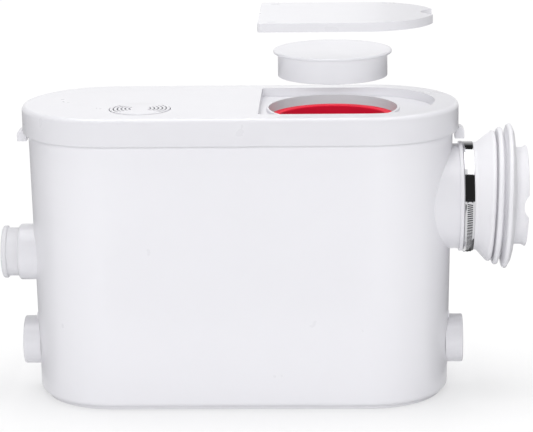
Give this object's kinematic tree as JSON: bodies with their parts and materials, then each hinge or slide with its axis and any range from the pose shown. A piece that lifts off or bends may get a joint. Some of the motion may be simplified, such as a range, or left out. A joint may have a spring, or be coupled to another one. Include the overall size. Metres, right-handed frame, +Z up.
{
  "type": "macerator toilet pump",
  "caption": "Macerator toilet pump: white stadium shaped tank with lid, lifted access cover and plug, ribbed pan coupling with hose clamp, side inlets and rear discharge.",
  "frame": {"origin": "centre of the base pad's underside, on the floor", "axes": "+X along the tank towards the pan coupling, +Y to the back, +Z up"},
  "size_m": [0.4758, 0.1884, 0.348],
  "materials": {
    "white_plastic": "smooth glossy white moulded plastic",
    "white_rubber": "soft satin white rubber",
    "red_rubber": "satin red rubber",
    "black_rubber": "matt black rubber",
    "grey_plastic": "matt grey moulded plastic",
    "black_plastic": "matt black plastic",
    "carbon": "granular active carbon",
    "stainless": "brushed stainless steel",
    "steel_core": "stacked steel sheets",
    "copper_wire": "enamelled copper wire",
    "board_green": "green circuit board"
  },
  "bodies": {
    "casing": {"tank": "white_plastic", "lid": "white_plastic", "base_pad": "black_rubber", "lid_gasket": "black_rubber", "lid_clips": "white_plastic", "access_seal": "red_rubber", "vent_grille": "white_plastic", "filter_cup": "grey_plastic", "carbon_filter": "carbon", "inlet_coupling": "white_rubber", "clamp_band": "stainless", "clamp_housing": "stainless", "basin_sleeve": "white_rubber", "left_low_port": "white_plastic", "right_low_port": "white_plastic", "flap_pins": "stainless", "inlet_chute": "grey_plastic", "basket": "grey_plastic", "stator": "steel_core", "windings": "copper_wire", "motor_housing": "grey_plastic", "motor_plate": "grey_plastic", "rear_bearing": "stainless", "front_bearing": "stainless", "shaft_seal": "black_rubber", "volute": "grey_plastic", "volute_cover": "grey_plastic", "motor_cradle": "grey_plastic", "riser_pipe": "black_rubber", "valve_body": "grey_plastic", "valve_pin": "stainless", "discharge_elbow": "grey_plastic", "elbow_grommet": "black_rubber", "pressure_chamber": "grey_plastic", "membrane": "black_rubber", "pressure_switch": "grey_plastic", "control_box": "grey_plastic", "box_lid": "grey_plastic", "capacitor": "black_plastic", "control_board": "board_green", "box_screws": "stainless", "motor_screws": "stainless", "cable_gland": "black_plastic", "gland_nut": "black_plastic"},
    "cover": {"access_cover": "white_plastic"},
    "plug": {"access_plug": "white_plastic"},
    "clamp_worm": {"clamp_screw": "stainless"},
    "left_inlet_flap": {"left_flap": "black_rubber"},
    "right_inlet_flap": {"right_flap": "black_rubber"},
    "rotating_group": {"shaft": "stainless", "rotor": "steel_core", "impeller": "grey_plastic", "cutter": "stainless"},
    "discharge_flap": {"valve_flap": "black_rubber"},
    "plunger": {"switch_plunger": "red_rubber"}
  },
  "joints": [
    {"name": "plug_lift", "type": "slide", "parent": "casing", "child": "plug", "axis": [0, 0, 1], "range_m": [-0.0575, 0]},
    {"name": "cover_lift", "type": "slide", "parent": "casing", "child": "cover", "axis": [0, 0, 1], "range_m": [-0.0795, 0]},
    {"name": "pump_spin", "type": "hinge", "parent": "casing", "child": "rotating_group", "pos_m": [0, 0, 0.08], "axis": [1, 0, 0], "continuous": true},
    {"name": "discharge_flap_swing", "type": "hinge", "parent": "casing", "child": "discharge_flap", "pos_m": [-0.013, 0.0218, 0.1729], "axis": [1, 0, 0], "range_deg": [0, 55]},
    {"name": "left_flap_swing", "type": "hinge", "parent": "casing", "child": "left_inlet_flap", "pos_m": [-0.1774, 0, 0.072], "axis": [0, -1, 0], "range_deg": [0, 30]},
    {"name": "right_flap_swing", "type": "hinge", "parent": "casing", "child": "right_inlet_flap", "pos_m": [0.1774, 0, 0.072], "axis": [0, 1, 0], "range_deg": [0, 30]},
    {"name": "clamp_screw_turn", "type": "hinge", "parent": "casing", "child": "clamp_worm", "pos_m": [0.20446, 0.03343, 0.13721], "axis": [0, 0.788, 0.6157], "continuous": true},
    {"name": "plunger_travel", "type": "slide", "parent": "casing", "child": "plunger", "axis": [0, 0, 1], "range_m": [0, 0.0015], "stiffness_N_per_m": 200}
  ],
  "couplings": [
    {"joint": "cover_lift", "follows": "plug_lift", "ratio": 1.3826}
  ]
}
